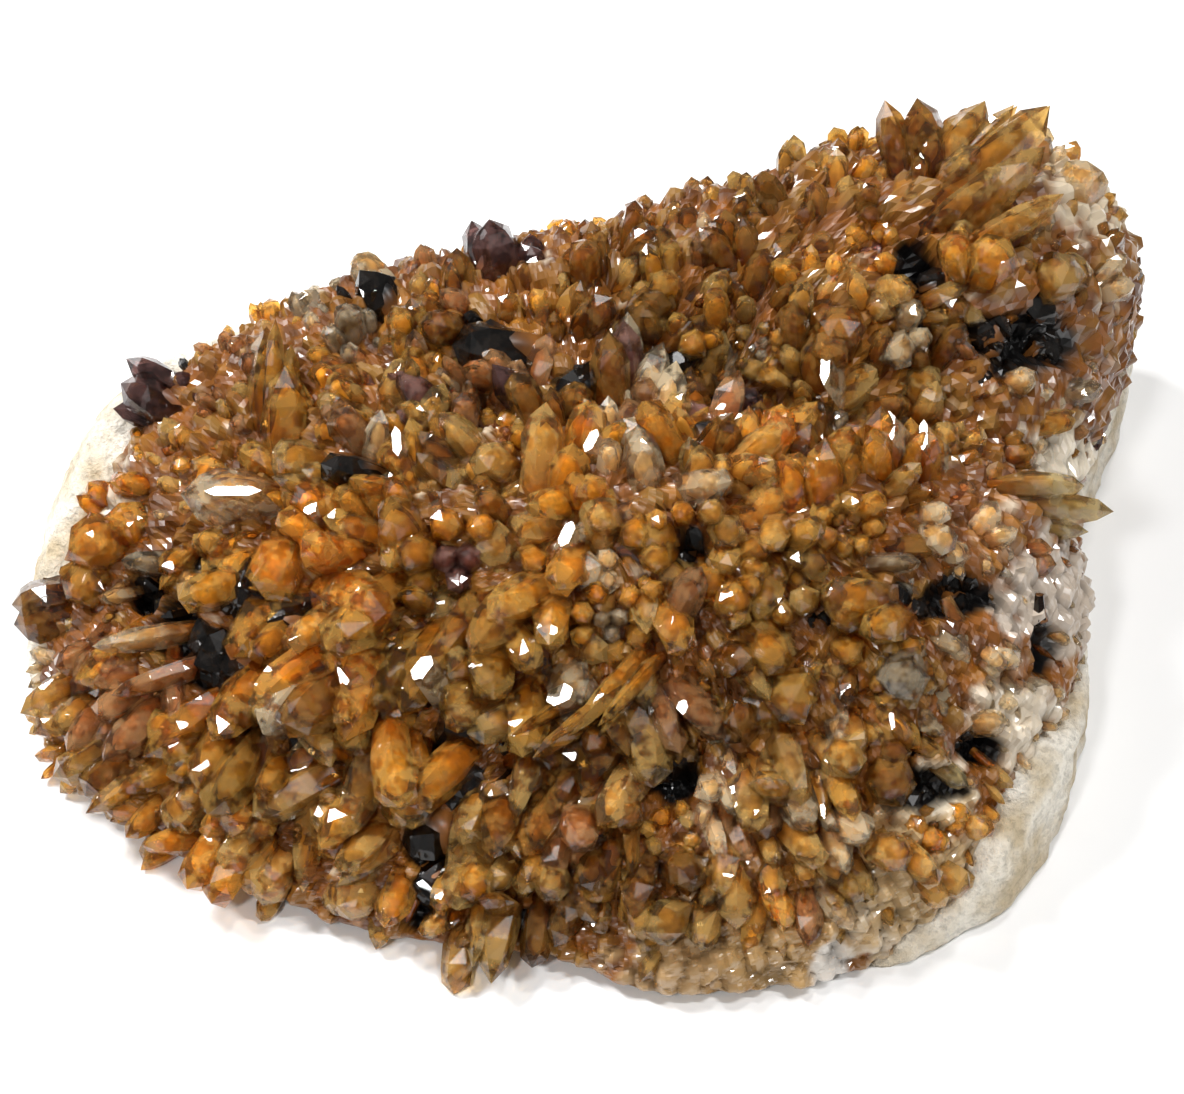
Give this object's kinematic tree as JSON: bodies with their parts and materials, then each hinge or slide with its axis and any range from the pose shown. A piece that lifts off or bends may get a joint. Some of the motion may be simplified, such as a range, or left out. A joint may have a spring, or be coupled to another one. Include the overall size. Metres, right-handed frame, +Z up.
{
  "type": "calcite specimen",
  "caption": "Calcite specimen: a crust of honey-brown dog-tooth calcite crystals on a pale matrix rock with a flat underside.",
  "frame": {"origin": "on the flat underside of the matrix rock, in the middle of its outline", "axes": "+Z up from the flat underside, +X along the specimen's length towards its high end, -Y towards the side that slopes down in front"},
  "size_m": [0.1862, 0.1368, 0.0736],
  "materials": {
    "matrix_rock": "matte",
    "honey_calcite": "gloss"
  },
  "bodies": {
    "root": {"matrix": "matrix_rock", "calcite_druse": "honey_calcite"}
  },
  "joints": []
}
